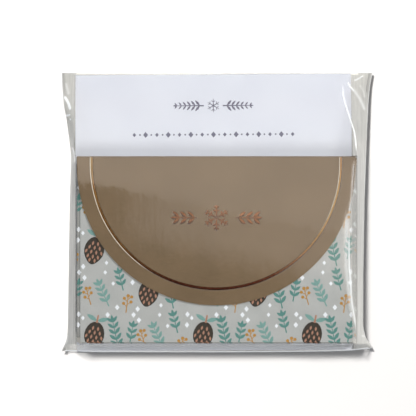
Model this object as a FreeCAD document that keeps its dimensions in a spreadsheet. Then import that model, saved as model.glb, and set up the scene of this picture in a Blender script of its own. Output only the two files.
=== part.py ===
import FreeCAD, Part
import math
import os

import Sketcher

# A set of paper gift card envelopes lying on its back in a clear film bag, in front of a square insert card.
# +Z is up through the thickness, +Y points to the bag's mouth and +X to the right as the flap is read.
# The origin is the middle of the footprint, on the surface that the bag lies on. Lengths are in millimetres.

SIZES = {
    # clear film bag, drawn in at the sides by the thick stack
    "bag_length": 106.6,
    "waist_room": 3.4,
    "corner_flare": 3.35,
    "bottom_flare_length": 5.3,
    "weld_width": 1.2,
    "film_gauge": 0.1,
    "film_clearance": 0.1,
    "mouth_height": 0.9,
    "trim_overrun": 5.0,
    # lip of the bag, folded behind the mouth and held by an adhesive strip
    "lip_length": 30.0,
    "lip_bead_radius": 0.15,
    "lip_edge_gap": 0.3,
    "adhesive_width": 10.0,
    "adhesive_inset": 4.0,
    "adhesive_gauge": 0.1,
    # white insert card, cut to the bag less its room at the sides and ends
    "card_side_room": 3.4,
    "card_end_room": 0.8,
    "card_gauge": 0.45,
    "card_offset_x": -1.15,
    "card_offset_y": 0.0,
    # one envelope: back panel, side tabs, bottom fold and front panel round a pocket for a bank-size card
    "envelope_width": 105.0,
    "envelope_height": 70.0,
    "paper_gauge": 0.35,
    "pocket_depth": 0.85,
    "front_inset": 1.2,
    "throat_depth": 6.0,
    "tab_width": 9.0,
    "tab_end_gap": 1.5,
    "score_clearance": 0.05,
    # half-round flap with its foil border and ornament
    "flap_straight": 3.5,
    "flap_clearance": 0.05,
    "foil_gauge": 0.03,
    "border_inset": 5.5,
    "border_straight": 2.8,
    "border_width": 1.25,
    "ornament_drop": 23.0,
    "star_reach": 5.3,
    "star_stroke": 0.62,
    "star_branch": 2.0,
    "sprig_gap": 1.5,
    "sprig_length": 10.6,
    "stem_width": 0.5,
    "leaf_length": 3.8,
    "leaf_width": 1.15,
    # the stack of envelopes in the bag
    "stack_foot_room": 4.3,
    "stack_clearance": 0.07,
    "stack_spread": 0.9,
}

# Sideways and lengthways places of the envelopes, front one first, as shares of the stack's spread
SHIFT_X_SHARES = (-0.3, 0.25, -0.8, -0.1)
SHIFT_Y_SHARES = (0.0, -0.6, -0.2, -0.8)
ENVELOPES = len(SHIFT_X_SHARES)

# Where the branches leave an arm of the star, and where the leaf pairs leave a stem, along each
BRANCH_SHARES = (0.42, 0.7)
LEAF_SHARES = (0.14, 0.4, 0.66)
LEAF_ANGLE = 42.0
STAR_ARMS = 6

# How far the loose card has turned in the bag, in degrees
CARD_TURN = 0.35

doc = FreeCAD.newDocument("gift_card_envelope_set")
sheet = doc.addObject("Spreadsheet::Sheet", "sizes")
for row, (name, number) in enumerate(SIZES.items(), start=1):
    sheet.set(f"A{row}", name)
    sheet.set(f"B{row}", str(number))
    sheet.setAlias(f"B{row}", name)
doc.recompute()


class Size:
    """A length as a spreadsheet expression, with the number that it comes to."""

    def __init__(self, text, number):
        self.text = text
        self.number = number

    def combine(self, sign, other, number):
        return Size(f"({self.text} {sign} {getattr(other, 'text', other)})", number)

    def __add__(self, other):
        return self.combine("+", other, self.number + other.number)

    def __sub__(self, other):
        return self.combine("-", other, self.number - other.number)

    def __mul__(self, factor):
        return self.combine("*", factor, self.number * getattr(factor, "number", factor))

    def __truediv__(self, factor):
        return self.combine("/", factor, self.number / getattr(factor, "number", factor))

    def __neg__(self):
        return Size(f"(-{self.text})", -self.number)


class Sheet:
    """The sheet's cells, by alias."""

    def __getattr__(self, alias):
        return Size(f"sizes.{alias}", float(sheet.get(alias)))


S = Sheet()
ZERO = Size("0", 0.0)
PARTS = []


def place(obj, x=ZERO, y=ZERO, z=ZERO):
    """Binds an object's position to the sheet."""
    for axis, where in zip("xyz", (x, y, z)):
        obj.setExpression(f"Placement.Base.{axis}", where.text)
    return obj


def node(obj, label):
    """Names a finished sub-part, which is written to a file of that name."""
    obj.Label = label
    PARTS.append(obj)
    return obj


def box(name, corner, spans):
    """A rectangular plate or strip from its low corner."""
    obj = doc.addObject("Part::Box", name)
    for side, span in zip(("Length", "Width", "Height"), spans):
        obj.setExpression(side, span.text)
    return place(obj, *corner)


def rod(name, start, length, radius):
    """A round bar along +X."""
    obj = doc.addObject("Part::Cylinder", name)
    obj.Placement.Rotation = FreeCAD.Rotation(FreeCAD.Vector(0, 1, 0), 90)
    obj.setExpression("Radius", radius.text)
    obj.setExpression("Height", length.text)
    return place(obj, *start)


def join(name, pieces):
    """Several solids that are one piece of material."""
    obj = doc.addObject("Part::MultiFuse", name)
    obj.Shapes = pieces
    obj.Refine = True
    return obj


def cut(name, base, tool):
    """One solid less another."""
    obj = doc.addObject("Part::Cut", name)
    obj.Base = base
    obj.Tool = tool
    return obj


def fix_point(sketch, geometry, end, x, y):
    """Ties one point of a sketch to the sheet, from the sketch's origin."""
    for kind, where in (("DistanceX", x), ("DistanceY", y)):
        if where is not None:
            tie = Sketcher.Constraint(kind, -1, 1, geometry, end, where.number)
            sketch.setExpression(f"Constraints[{sketch.addConstraint(tie)}]", where.text)


def plate(name, corners, gauge, bowl=None):
    """A flat sheet padded from its outline of corners, anticlockwise. With bowl, the side after that corner
    is a half circle that hangs below it."""
    body = doc.addObject("PartDesign::Body", name)
    sketch = body.newObject("Sketcher::SketchObject", f"{name}_outline")
    floor = [plane for plane in body.Origin.OriginFeatures if plane.Role == "XY_Plane"]
    sketch.AttachmentSupport = (floor[0], [""])
    sketch.MapMode = "FlatFace"
    points = [FreeCAD.Vector(x.number, y.number, 0) for x, y in corners]
    for index, start in enumerate(points):
        end = points[(index + 1) % len(points)]
        if index == bowl:
            middle = (start + end) / 2
            circle = Part.Circle(middle, FreeCAD.Vector(0, 0, 1), start.distanceToPoint(end) / 2)
            sketch.addGeometry(Part.ArcOfCircle(circle, math.pi, 2 * math.pi), False)
        else:
            sketch.addGeometry(Part.LineSegment(start, end), False)
    for index in range(len(points)):
        following = (index + 1) % len(points)
        sketch.addConstraint(Sketcher.Constraint("Coincident", index, 2, following, 1))
    for index, (x, y) in enumerate(corners):
        fix_point(sketch, index, 1, x, y)
    if bowl is not None:
        fix_point(sketch, bowl, 3, None, corners[bowl][1])
    pad = body.newObject("PartDesign::Pad", f"{name}_pad")
    pad.Profile = sketch
    pad.setExpression("Length", gauge.text)
    return body


def roof(name, base, top, low, high):
    """A block with a rectangular base at the low level and a smaller rectangle at the high one, each given as
    its half width and its two ends along Y."""
    obj = doc.addObject("Part::Wedge", name)
    obj.Placement.Rotation = FreeCAD.Rotation(FreeCAD.Vector(1, 0, 0), 90)
    for mark, (half, start, end) in (("", base), ("2", top)):
        obj.setExpression(f"X{mark}min", (-half).text)
        obj.setExpression(f"X{mark}max", half.text)
        obj.setExpression(f"Z{mark}min", (-end).text)
        obj.setExpression(f"Z{mark}max", (-start).text)
    obj.setExpression("Ymin", low.text)
    obj.setExpression("Ymax", high.text)
    return obj


# Levels that the pieces share, from the surface up
half_length = S.bag_length / 2
waist = S.envelope_width / 2 + S.waist_room
corner = waist + S.corner_flare
fold_line = S.stack_foot_room - half_length + S.envelope_height
lip_axis_y = half_length - S.lip_bead_radius
mouth_y = lip_axis_y - S.lip_bead_radius - S.score_clearance
step_y = lip_axis_y - S.lip_length - S.lip_edge_gap
raised_film_z = S.film_gauge + S.adhesive_gauge
card_z = raised_film_z + S.film_gauge + S.film_clearance
stack_z = card_z + S.card_gauge + S.stack_clearance
closed_gauge = S.paper_gauge * 3 + S.pocket_depth + S.flap_clearance + S.foil_gauge
pitch = closed_gauge + S.stack_clearance
stack_top = stack_z + pitch * (ENVELOPES - 1) + closed_gauge
wall_foot = waist - S.weld_width


def bag_back_film():
    """The back of the bag: flat on the surface, then stepped up over the lip that is folded behind it."""
    low = plate(
        "back_film_low",
        [
            (-corner, -half_length),
            (corner, -half_length),
            (waist, S.bottom_flare_length - half_length),
            (waist, step_y),
            (-waist, step_y),
            (-waist, S.bottom_flare_length - half_length),
        ],
        S.film_gauge,
    )
    half = wall_foot - S.film_gauge - S.film_clearance
    riser_y = step_y - S.film_gauge
    riser = box(
        "back_film_riser",
        (-half, riser_y, S.film_gauge),
        (half * 2, S.film_gauge, raised_film_z),
    )
    raised = box(
        "back_film_raised",
        (-half, riser_y, raised_film_z),
        (half * 2, mouth_y - riser_y, S.film_gauge),
    )
    node(join("back_film", [low, riser, raised]), "bag_back_film")


def bag_front_film():
    """The front of the bag: a thin tent over the stack that slopes down over the card to the open mouth."""
    ceiling = stack_top + S.film_clearance
    half = S.envelope_width / 2 + S.stack_spread
    low_end = fold_line - S.envelope_height - S.stack_spread - S.film_clearance
    high_end = fold_line + S.paper_gauge / 2 + S.film_clearance
    run_per_rise = (mouth_y - high_end) / (ceiling - S.film_gauge - S.mouth_height)
    foot_end = mouth_y + S.mouth_height * run_per_rise
    inner = roof(
        "front_film_inside",
        (wall_foot - S.film_gauge, S.film_gauge - half_length, foot_end),
        (half, low_end, high_end),
        S.film_gauge,
        ceiling,
    )
    outer = roof(
        "front_film_outside",
        (wall_foot, -half_length, foot_end + S.film_gauge * run_per_rise),
        (half + S.film_gauge, low_end - S.film_gauge, high_end + S.film_gauge),
        S.film_gauge,
        ceiling + S.film_gauge,
    )
    beyond = box(
        "front_film_mouth",
        (-corner, mouth_y, ZERO),
        (corner * 2, foot_end - mouth_y + S.trim_overrun, ceiling),
    )
    node(cut("front_film", cut("front_film_shell", outer, inner), beyond), "bag_front_film")


def side_weld(name, side):
    """One side edge of the bag, where the two films are welded and cut: it follows the drawn-in waist and
    spreads to the bag's full width at the corners."""
    edge = [
        (wall_foot, -half_length),
        (corner, -half_length),
        (waist, S.bottom_flare_length - half_length),
        (waist, fold_line),
        (corner, mouth_y),
        (wall_foot, mouth_y),
    ]
    if side < 0:
        edge = [(-x, y) for x, y in reversed(edge)]
    node(place(plate(name, edge, S.film_gauge * 2), z=S.film_gauge), f"bag_{name}")


def bag_lip():
    """The bag's lip, folded flat behind the top edge about a rounded crease, and its strip of adhesive."""
    film = plate(
        "lip_film",
        [(-waist, -S.lip_length), (waist, -S.lip_length), (corner, ZERO), (-corner, ZERO)],
        S.film_gauge,
    )
    place(film, y=lip_axis_y)
    crease = rod("lip_crease", (-corner, lip_axis_y, S.lip_bead_radius), corner * 2, S.lip_bead_radius)
    node(join("lip", [film, crease]), "bag_lip")
    half = waist - S.adhesive_inset
    strip = box(
        "adhesive",
        (-half, lip_axis_y - S.lip_length + S.adhesive_inset, S.film_gauge),
        (half * 2, S.adhesive_width, S.adhesive_gauge),
    )
    node(strip, "lip_adhesive")


def insert_card():
    """The square white card behind the envelopes, turned slightly about its middle."""
    half_width = waist - S.card_side_room
    half_height = half_length - S.card_end_room
    turn = math.radians(CARD_TURN)
    reach_x = half_width * math.cos(turn) - half_height * math.sin(turn)
    reach_y = half_width * math.sin(turn) + half_height * math.cos(turn)
    card = box(
        "card",
        (S.card_offset_x - reach_x, S.card_offset_y - reach_y, card_z),
        (half_width * 2, half_height * 2, S.card_gauge),
    )
    card.Placement.Rotation = FreeCAD.Rotation(FreeCAD.Vector(0, 0, 1), CARD_TURN)
    node(card, "insert_card")


def half_round(name, half, top, straight, gauge):
    """A sheet with a straight top, two short straight sides and a half-circle below."""
    return plate(
        name,
        [(half, top), (-half, top), (-half, -straight), (half, -straight)],
        gauge,
        bowl=2,
    )


def stroke(start, way, length, width, gauge):
    """A straight stroke of foil from a point along a direction in degrees."""
    bar = Part.makeBox(length, width, gauge, FreeCAD.Vector(0, -width / 2, 0))
    bar.rotate(FreeCAD.Vector(), FreeCAD.Vector(0, 0, 1), way)
    bar.translate(start)
    return bar


def leaf(start, way, length, width, gauge):
    """A pointed leaf of foil between two arcs, from its stalk end along a direction in degrees."""
    tip = FreeCAD.Vector(length, 0, 0)
    sides = [FreeCAD.Vector(length / 2, side * width / 2, 0) for side in (-1, 1)]
    edges = [
        Part.Arc(FreeCAD.Vector(), sides[0], tip).toShape(),
        Part.Arc(tip, sides[1], FreeCAD.Vector()).toShape(),
    ]
    blade = Part.Face(Part.Wire(edges)).extrude(FreeCAD.Vector(0, 0, gauge))
    blade.rotate(FreeCAD.Vector(), FreeCAD.Vector(0, 0, 1), way)
    blade.translate(start)
    return blade


def heading(way, reach):
    """The point at a distance from the origin in a direction given in degrees."""
    return FreeCAD.Vector(math.cos(math.radians(way)), math.sin(math.radians(way)), 0) * reach


def foil_ornament(name, x, y, z):
    """The stamped ornament: a six-armed star between two leafy sprigs."""
    gauge = S.foil_gauge.number
    reach = S.star_reach.number
    width = S.star_stroke.number
    strokes = []
    for arm in range(STAR_ARMS):
        way = 90 + arm * 360 / STAR_ARMS
        strokes.append(stroke(FreeCAD.Vector(), way, reach, width, gauge))
        for share in BRANCH_SHARES:
            for turn in (-60, 60):
                foot = heading(way, reach * share)
                strokes.append(stroke(foot, way + turn, S.star_branch.number * (1 - share / 2), width, gauge))
    pieces = [strokes[0].multiFuse(strokes[1:]).removeSplitter()]
    length = S.sprig_length.number
    for way in (0, 180):
        foot = heading(way, reach + S.sprig_gap.number)
        growth = [stroke(foot, way, length - S.leaf_length.number / 2, S.stem_width.number, gauge)]
        for share in LEAF_SHARES:
            for turn in (-LEAF_ANGLE, LEAF_ANGLE):
                stalk = foot + heading(way, length * share)
                growth.append(leaf(stalk, way + turn, S.leaf_length.number, S.leaf_width.number, gauge))
        tip = foot + heading(way, length - S.leaf_length.number)
        growth.append(leaf(tip, way, S.leaf_length.number, S.leaf_width.number, gauge))
        pieces.append(growth[0].multiFuse(growth[1:]).removeSplitter())
    obj = doc.addObject("Part::Feature", name)
    obj.Shape = Part.makeCompound(pieces)
    return place(obj, x, y, z)


def envelope(index):
    """One envelope of the stack, the front one being number 1: a sheet folded round its pocket, parted at its
    scores, with the spine and flap closed over the front."""
    name = f"envelope_{index}"
    x = S.stack_spread * SHIFT_X_SHARES[index - 1]
    y = fold_line + S.stack_spread * SHIFT_Y_SHARES[index - 1]
    z = stack_z + pitch * (ENVELOPES - index)
    gauge = S.paper_gauge
    width = S.envelope_width
    left = x - width / 2
    bottom = y - S.envelope_height
    front_z = z + gauge + S.pocket_depth
    flap_z = front_z + gauge + S.flap_clearance
    score = gauge / 2
    below_score = -(score + S.score_clearance)

    back = box(f"{name}_back", (left, bottom, z), (width, S.envelope_height + below_score, gauge))
    node(back, f"{name}_back_panel")

    front_left = left + S.front_inset
    front_width = width - S.front_inset * 2
    fold = box(f"{name}_fold", (front_left, bottom, z + gauge), (front_width, gauge, S.pocket_depth))
    node(fold, f"{name}_bottom_fold")

    front_height = S.envelope_height - S.throat_depth
    front = box(f"{name}_front", (front_left, bottom, front_z), (front_width, front_height, gauge))
    node(front, f"{name}_front_panel")

    tab_y = bottom + gauge + S.tab_end_gap
    tab_length = front_height - gauge - S.tab_end_gap * 2
    for side, wall_x, tab_x in (
        ("left", left, left),
        ("right", left + width - gauge, left + width - S.tab_width),
    ):
        wall = box(f"{name}_{side}_wall", (wall_x, tab_y, z + gauge), (gauge, tab_length, S.pocket_depth))
        flat = box(f"{name}_{side}_flat", (tab_x, tab_y, front_z - gauge), (S.tab_width, tab_length, gauge))
        node(join(f"{name}_{side}", [wall, flat]), f"{name}_{side}_tab")

    spine_height = flap_z - z
    web = box(f"{name}_web", (left, y - score, z + score), (width, gauge, spine_height))
    scores = [
        rod(f"{name}_score_{level}", (left, y, where), width, score)
        for level, where in (("low", z + score), ("high", flap_z + score))
    ]
    node(join(f"{name}_edge", [web] + scores), f"{name}_spine")

    flap = half_round(f"{name}_leaf", width / 2, below_score, S.flap_straight, gauge)
    node(place(flap, x, y, flap_z), f"{name}_flap")

    foil_z = flap_z + gauge
    line = width / 2 - S.border_inset
    rims = [
        half_round(f"{name}_border_{edge}", radius, below_score, S.border_straight, S.foil_gauge)
        for edge, radius in (("outside", line + S.border_width / 2), ("inside", line - S.border_width / 2))
    ]
    border = cut(f"{name}_border", *rims)
    node(place(border, x, y, foil_z), f"{name}_foil_border")

    ornament = foil_ornament(f"{name}_ornament", x, y - S.ornament_drop, foil_z)
    node(ornament, f"{name}_foil_ornament")


bag_back_film()
bag_front_film()
side_weld("left_weld", -1)
side_weld("right_weld", 1)
bag_lip()
insert_card()
for number in range(1, ENVELOPES + 1):
    envelope(number)
doc.recompute()

for obj in doc.Objects:
    if {"Invalid", "Error"} & set(obj.State):
        raise RuntimeError(f"{obj.Label} failed: {obj.State}")
for obj in PARTS:
    if obj.Shape.isNull() or not obj.Shape.isValid() or not obj.Shape.Solids:
        raise RuntimeError(f"{obj.Label} has no sound shape")

os.makedirs("parts", exist_ok=True)
for obj in PARTS:
    obj.Shape.exportStep(f"parts/{obj.Label}.step")
    print(obj.Label, len(obj.Shape.Solids), round(obj.Shape.Volume, 3), obj.Shape.BoundBox)
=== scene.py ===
import math

import bpy
import numpy as np
from mathutils import Matrix, Quaternion, Vector


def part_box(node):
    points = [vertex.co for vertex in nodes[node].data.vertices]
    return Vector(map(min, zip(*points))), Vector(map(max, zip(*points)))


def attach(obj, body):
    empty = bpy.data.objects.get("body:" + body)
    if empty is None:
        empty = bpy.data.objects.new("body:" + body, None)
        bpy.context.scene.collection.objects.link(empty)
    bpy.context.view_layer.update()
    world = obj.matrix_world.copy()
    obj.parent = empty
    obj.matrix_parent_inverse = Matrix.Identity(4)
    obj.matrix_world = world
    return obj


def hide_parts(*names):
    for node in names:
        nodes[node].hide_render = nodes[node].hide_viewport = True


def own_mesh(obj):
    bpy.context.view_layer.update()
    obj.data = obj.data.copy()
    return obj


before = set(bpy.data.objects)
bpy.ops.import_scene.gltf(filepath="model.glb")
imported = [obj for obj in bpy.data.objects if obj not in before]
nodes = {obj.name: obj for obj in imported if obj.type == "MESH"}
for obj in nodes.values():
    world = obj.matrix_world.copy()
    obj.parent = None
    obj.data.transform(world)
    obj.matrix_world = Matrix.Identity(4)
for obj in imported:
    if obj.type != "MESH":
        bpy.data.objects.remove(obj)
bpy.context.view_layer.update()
MM = 0.001
bpy.context.scene.view_settings.view_transform = "Standard"


# Insert card: a square of smooth coated white board, guillotined to fit the bag, that keeps the set flat.
# It lies against the back film and shows above the envelopes. Its head is printed in grey with two sprigs
# about a small star and, below them, a row of fine diamonds.
CARD_WHITE = (0.79, 0.813, 0.878, 1.0)
CARD_SHADE = (0.758, 0.78, 0.85, 1.0)
HEAD_GREY = (0.155, 0.152, 0.2, 1.0)
CARD_TURN = 0.35
HEAD_Y = 40.6
RULE_Y = 29.6
RULE_PITCH = 4.3
RULE_DIAMONDS = 15
HEAD_GAP = 3.6
SPRIG_STEM = (0.5, 0.22)
STAR_WAYS = range(90, 450, 60)
INK_FILM = 0.015
INK_STEP = 0.0005


class Flow:
    """A socket of a finish: sums on it add Math nodes to its tree, and node() adds any other kind."""

    def __init__(self, tree, socket):
        self.tree = tree
        self.socket = socket

    def node(self, kind, settings, inputs, out=0):
        made = self.tree.nodes.new(kind)
        for key, value in settings.items():
            setattr(made, key, value)
        for key, value in inputs.items():
            if isinstance(value, Flow):
                self.tree.links.new(value.socket, made.inputs[key])
            else:
                made.inputs[key].default_value = value
        return Flow(self.tree, made.outputs[out])

    def sum(self, operation, *values):
        return self.node("ShaderNodeMath", {"operation": operation}, dict(enumerate(values)))

    def __add__(self, other):
        return self.sum("ADD", self, other)

    __radd__ = __add__

    def __sub__(self, other):
        return self.sum("SUBTRACT", self, other)

    def __rsub__(self, other):
        return self.sum("SUBTRACT", other, self)

    def __mul__(self, other):
        return self.sum("MULTIPLY", self, other)

    __rmul__ = __mul__

    def __pow__(self, power):
        return self.sum("POWER", self, power)

    def step(self, low, high):
        """This value from 0 at low to 1 at high, eased."""
        return self.node(
            "ShaderNodeMapRange",
            {"interpolation_type": "SMOOTHSTEP"},
            {"Value": self, "From Min": low, "From Max": high},
        )

    def blend(self, low, high):
        """The colour between two others at this share."""
        return self.node("ShaderNodeMix", {"data_type": "RGBA"}, {0: self, 6: low, 7: high}, out=2)

    def stretched(self, x, y, z):
        """These coordinates multiplied along each axis."""
        return self.node("ShaderNodeVectorMath", {"operation": "MULTIPLY"}, {0: self, 1: (x, y, z)})

    def axis(self, name):
        """One of these coordinates."""
        return self.node("ShaderNodeSeparateXYZ", {}, {"Vector": self}, out=name)

    def mark(self, name):
        """A value stored on the points of the mesh."""
        return self.node("ShaderNodeAttribute", {"attribute_name": name}, {}, out="Fac")

    def grain(self, scale, detail):
        """A value of soft noise, in features per metre."""
        return self.node("ShaderNodeTexNoise", {}, {"Vector": self, "Scale": scale, "Detail": detail})

    def relief(self, depth, strength):
        """A normal from this height, in metres from low to high."""
        return self.node("ShaderNodeBump", {}, {"Height": self, "Distance": depth, "Strength": strength})


def finish(name):
    """A new material: the material, its Object coordinates and its shader."""
    made = bpy.data.materials.new(name)
    made.use_nodes = True
    tree = made.node_tree
    where = tree.nodes.new("ShaderNodeTexCoord").outputs["Object"]
    return made, Flow(tree, where), tree.nodes["Principled BSDF"]


def feed(shader, inputs):
    """Sets or links a shader's sockets."""
    for key, value in inputs.items():
        if isinstance(value, Flow):
            value.tree.links.new(value.socket, shader.inputs[key])
        else:
            shader.inputs[key].default_value = value


def coat(obj, material):
    """Gives a piece this material alone."""
    if not obj.material_slots:
        obj.data.materials.append(material)
    for holder in obj.material_slots:
        holder.material = material


def card_finish():
    """Smooth coated board: a cool white with a faint cloudiness and a very fine tooth."""
    made, where, shader = finish("white_board")
    cloud = where.grain(55.0, 4.0)
    tooth = where.grain(5200.0, 2.0)
    feed(shader, {
        "Base Color": (cloud * 0.8 + tooth * 0.2).step(0.35, 0.68).blend(CARD_SHADE, CARD_WHITE),
        "Roughness": 0.42 + 0.16 * tooth,
        "Specular IOR Level": 0.35,
        "Normal": tooth.relief(0.00001, 0.5),
    })
    return made


def ink_finish(name, colour, lift):
    """Flat printing ink: its colour breaks up slightly over the paper's tooth."""
    made, where, shader = finish(name)
    tooth = where.grain(3800.0, 3.0)
    worn = tuple(min(1.0, c * (1 + lift) + 0.02 * lift) for c in colour[:3]) + (1.0,)
    feed(shader, {
        "Base Color": tooth.step(0.38, 0.72).blend(colour, worn),
        "Roughness": 0.5 + 0.2 * tooth,
        "Specular IOR Level": 0.3,
        "Normal": tooth.relief(0.000008, 0.4),
    })
    return made


def pick(*pieces):
    """Selects these objects alone, the first of them active."""
    bpy.ops.object.select_all(action="DESELECT")
    for piece in pieces:
        piece.select_set(True)
    bpy.context.view_layer.objects.active = pieces[0]


def joined(name, pieces):
    """Several objects made one."""
    pick(*pieces)
    if len(pieces) > 1:
        bpy.ops.object.join()
    made = bpy.context.view_layer.objects.active
    made.name = name
    made.data.name = name
    return made


def twin(piece, matrix=Matrix.Identity(4)):
    """A copy with its own mesh, moved by a matrix."""
    made = piece.copy()
    made.data = piece.data.copy()
    made.data.transform(matrix)
    bpy.context.scene.collection.objects.link(made)
    return made


def turned(x, y, way, size=1.0):
    """A place on the paper, in millimetres, a turn in degrees and a size, as a matrix."""
    place = Matrix.Translation((x * MM, y * MM, 0))
    return place @ Matrix.Rotation(math.radians(way), 4, "Z") @ Matrix.Scale(size, 4)


def discard(*pieces):
    """Removes shapes that were only copied from."""
    for piece in pieces:
        bpy.data.objects.remove(piece)


def disc(corners, width, height, pointed=False):
    """A flat shape from a ring of corners, in millimetres. A pointed one is drawn out to a tip at both ends
    and starts at the origin, as a leaf does at its stalk."""
    bpy.ops.mesh.primitive_circle_add(vertices=corners, radius=0.5, fill_type="NGON")
    made = bpy.context.object
    for corner in made.data.vertices:
        if pointed:
            corner.co.y = math.copysign(0.5 * (1 - (2 * corner.co.x) ** 2), corner.co.y)
            corner.co.x += 0.5
        corner.co.x *= width * MM
        corner.co.y *= height * MM
    return made


def bar(length, start_width, end_width):
    """A flat tapered stroke along +X from the origin, in millimetres."""
    bpy.ops.mesh.primitive_plane_add(size=1.0)
    made = bpy.context.object
    for corner in made.data.vertices:
        corner.co.y *= (start_width if corner.co.x < 0 else end_width) * MM
        corner.co.x = (corner.co.x + 0.5) * length * MM
    return made


def thicken(sheet, depth):
    """Gives the active sheet a thickness, in millimetres, on the side that it faces."""
    solid = sheet.modifiers.new("thickness", "SOLIDIFY")
    solid.thickness = depth * MM
    solid.offset = 1.0
    bpy.ops.object.modifier_apply(modifier=solid.name)


def inked(name, shapes, material, depth=INK_FILM):
    """Flat shapes joined and given the thickness of a layer of ink, in millimetres. Each starts a hair
    higher than the one before, so that no two share a level where they overlap."""
    for level, shape in enumerate(shapes):
        shape.data.transform(Matrix.Translation((0, 0, level * INK_STEP * MM)))
    made = joined(name, shapes)
    coat(made, material)
    thicken(made, depth)
    return made


def sprig(name, material, length, pairs, leaf_length, leaf_width, spread, taper):
    """A stem along +X with pairs of pointed leaves that shorten to the tip, and a leaf at its end."""
    shapes = [bar(length * 0.94, *SPRIG_STEM)]
    blade = disc(8, leaf_length, leaf_width, pointed=True)
    for pair in range(pairs):
        share = (pair + 0.9) / (pairs + 0.6)
        size = 1.0 - taper * share
        for side in (-1, 1):
            shapes.append(twin(blade, turned(length * share, 0, side * spread, size)))
    shapes.append(twin(blade, turned(length - leaf_length * 0.5, 0, 0, 1.0 - 0.7 * taper)))
    discard(blade)
    return inked(name, shapes, material)


def star(name, material, reach, width, branch):
    """A six-armed star of tapered strokes with one pair of short branches on each arm."""
    arm = bar(reach, width, width * 0.55)
    twig = bar(branch, width * 0.85, width * 0.5)
    shapes = [disc(12, width * 2.4, width * 2.4)]
    for way in STAR_WAYS:
        shapes.append(twin(arm, turned(0, 0, way)))
        for side in (-1, 1):
            shapes.append(twin(twig, turned(0, 0, way) @ turned(reach * 0.56, 0, side * 55)))
    discard(arm, twig)
    return inked(name, shapes, material)


coat(nodes["insert_card"], card_finish())
head_ink = ink_finish("head_grey_ink", HEAD_GREY, lift=0.5)

card_low, card_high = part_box("insert_card")
head_sprig = sprig(
    "head_sprig", head_ink, length=11.4, pairs=6, leaf_length=2.9, leaf_width=1.0, spread=50, taper=0.55
)
head_star = star("head_star", head_ink, reach=2.5, width=0.34, branch=0.9)
head_shapes = [
    twin(head_sprig, turned(HEAD_GAP, HEAD_Y, 0)),
    twin(head_sprig, turned(-HEAD_GAP, HEAD_Y, 180)),
    twin(head_star, turned(0, HEAD_Y, 0)),
]
discard(head_sprig, head_star)
diamond = inked("diamond", [disc(4, width=1.9, height=2.3)], head_ink)
bead = inked("bead", [disc(8, width=0.7, height=0.7)], head_ink)
for place in range(RULE_DIAMONDS):
    x = (place - (RULE_DIAMONDS - 1) / 2) * RULE_PITCH
    head_shapes.append(twin(diamond, turned(x, RULE_Y, 0, 1.0 if place % 2 else 0.72)))
    if place:
        head_shapes.append(twin(bead, turned(x - RULE_PITCH / 2, RULE_Y, 0)))
discard(diamond, bead)
card_head = joined("card_head_print", head_shapes)
card_middle = (card_low + card_high) / 2
about_middle = turned(card_middle.x / MM, card_middle.y / MM, CARD_TURN)
card_head.data.transform(about_middle @ Matrix.Translation((0, 0, card_high.z)))
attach(card_head, "insert")


# Envelope pockets: each is one die-cut sheet of pale sage printed paper, folded up at the bottom and glued
# to two side tabs, so that its front panel and tabs stand over a pocket for one card. Four are stacked.
SAGE = (0.462, 0.472, 0.457, 1.0)
SAGE_SHADE = (0.414, 0.424, 0.41, 1.0)
# Painted shade: the darker sage of the side tabs, for the shadow they lie in beside the front panel.
TAB_SHADE_SAGE = (0.35, 0.355, 0.34, 1.0)
TAB_SHADE_SAGE_DEEP = (0.29, 0.294, 0.28, 1.0)
PLAIN_PAPER = (0.74, 0.73, 0.695, 1.0)
PLAIN_SHADE = (0.69, 0.68, 0.645, 1.0)
ENVELOPES = (4, 3, 2, 1)
FIRST_LEVEL = 0.9
ENVELOPE_PITCH = 2.05
BACK_INSIDE = 0.3
SIDE_FADE = 0.04
POCKET_PANELS = ("back_panel", "bottom_fold", "front_panel", "left_tab", "right_tab")


def height_in_envelope(where):
    """How high a point lies above the back of its own envelope, in metres."""
    rise = where.axis("Z") - FIRST_LEVEL * MM
    return rise.sum("MODULO", rise, ENVELOPE_PITCH * MM)


def plain_side(fibre):
    """The sheet's uncoated inner side: off-white, with short fibres."""
    return fibre.step(0.36, 0.64).blend(PLAIN_SHADE, PLAIN_PAPER)


def sage_finish(name, pale, shade, inside_from=None):
    """Matt printed paper: pale sage with a faint cloud of uneven ink and the sheet's short fibres. Above a
    height in its envelope, if one is given in millimetres, it shows its plain inner side."""
    made, where, shader = finish(name)
    cloud = where.grain(140.0, 5.0)
    fibre = where.stretched(1.0, 3.2, 1.0).grain(2100.0, 4.0)
    tone = (cloud * 0.6 + fibre * 0.4).step(0.34, 0.66).blend(shade, pale)
    if inside_from is not None:
        inside = height_in_envelope(where).step(inside_from * MM, (inside_from + SIDE_FADE) * MM)
        tone = inside.blend(tone, plain_side(fibre))
    feed(shader, {
        "Base Color": tone,
        "Roughness": 0.52 + 0.2 * fibre,
        "Specular IOR Level": 0.3,
        "Normal": fibre.relief(0.000016, 0.6),
    })
    return made


sage_paper = sage_finish("sage_paper", SAGE, SAGE_SHADE)
# Painted shade: the side tabs get a darker sage than the front panel, for the shadow beside it.
painted_shade_tab = sage_finish("painted_shade_tab", TAB_SHADE_SAGE, TAB_SHADE_SAGE_DEEP)
pocket_back = sage_finish("pocket_back", SAGE, SAGE_SHADE, BACK_INSIDE)
panel_finishes = {"left_tab": painted_shade_tab, "right_tab": painted_shade_tab, "back_panel": pocket_back}
for number in ENVELOPES:
    for panel in POCKET_PANELS:
        coat(nodes[f"envelope_{number}_{panel}"], panel_finishes.get(panel, sage_paper))


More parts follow.
